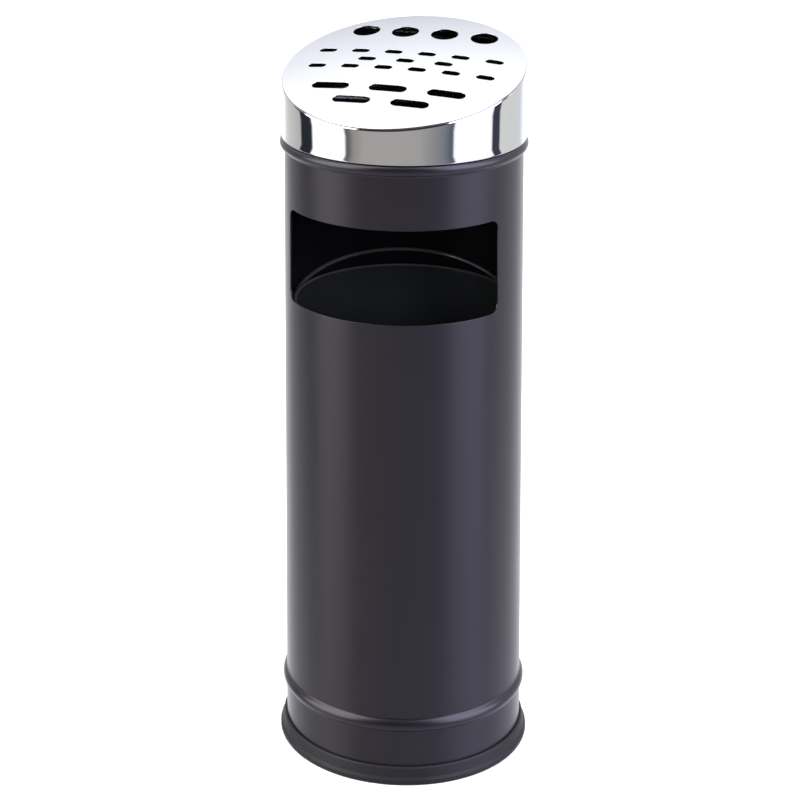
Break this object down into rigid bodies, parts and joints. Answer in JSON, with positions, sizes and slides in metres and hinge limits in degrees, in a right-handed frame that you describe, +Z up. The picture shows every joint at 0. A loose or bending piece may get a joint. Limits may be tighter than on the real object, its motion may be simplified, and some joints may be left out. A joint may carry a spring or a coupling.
{
  "type": "ashtray bin",
  "caption": "Free-standing cylindrical litter bin with a front opening, lift-out liner and ash pan, and a sloping perforated ashtray lid.",
  "frame": {"origin": "centre of the floor contact, under the base ring", "axes": "+Z up; the litter opening faces -Y; +X is to the right when facing the opening"},
  "size_m": [0.253, 0.253, 0.7233],
  "materials": {
    "shell_paint": "dark charcoal powder coat, satin",
    "ring_rubber": "black rubber, slightly glossy",
    "lid_stainless": "polished stainless steel",
    "pan_enamel": "black enamelled sheet steel",
    "liner_paint": "dark grey coated sheet steel",
    "zinc_hardware": "bright zinc-plated steel"
  },
  "bodies": {
    "shell": {"outer_shell": "shell_paint", "base_plate": "shell_paint", "base_ring": "ring_rubber"},
    "lid": {"lid_band": "lid_stainless", "lid_plate": "lid_stainless"},
    "pan": {"ash_pan": "pan_enamel", "pan_handle": "pan_enamel", "handle_rivets": "zinc_hardware"},
    "liner": {"liner_wall": "liner_paint", "liner_floor": "liner_paint", "liner_rim_wire": "zinc_hardware", "liner_ears": "zinc_hardware", "ear_rivets": "zinc_hardware"},
    "bail": {"bail_wire": "zinc_hardware"}
  },
  "joints": [
    {"name": "lid_lift", "type": "slide", "parent": "shell", "child": "lid", "axis": [0, 0, 1], "range_m": [0, 0.9]},
    {"name": "pan_lift", "type": "slide", "parent": "shell", "child": "pan", "axis": [0, 0, 1], "range_m": [0, 0.77]},
    {"name": "liner_lift", "type": "slide", "parent": "shell", "child": "liner", "axis": [0, 0, 1], "range_m": [0, 0.67]},
    {"name": "bail_swing", "type": "hinge", "parent": "liner", "child": "bail", "pos_m": [0, 0, 0.439], "axis": [0.9744, 0.225, 0], "range_deg": [0, 148]}
  ],
  "couplings": [
    {"joint": "pan_lift", "follows": "lid_lift", "ratio": 0.85},
    {"joint": "liner_lift", "follows": "lid_lift", "ratio": 0.74}
  ]
}
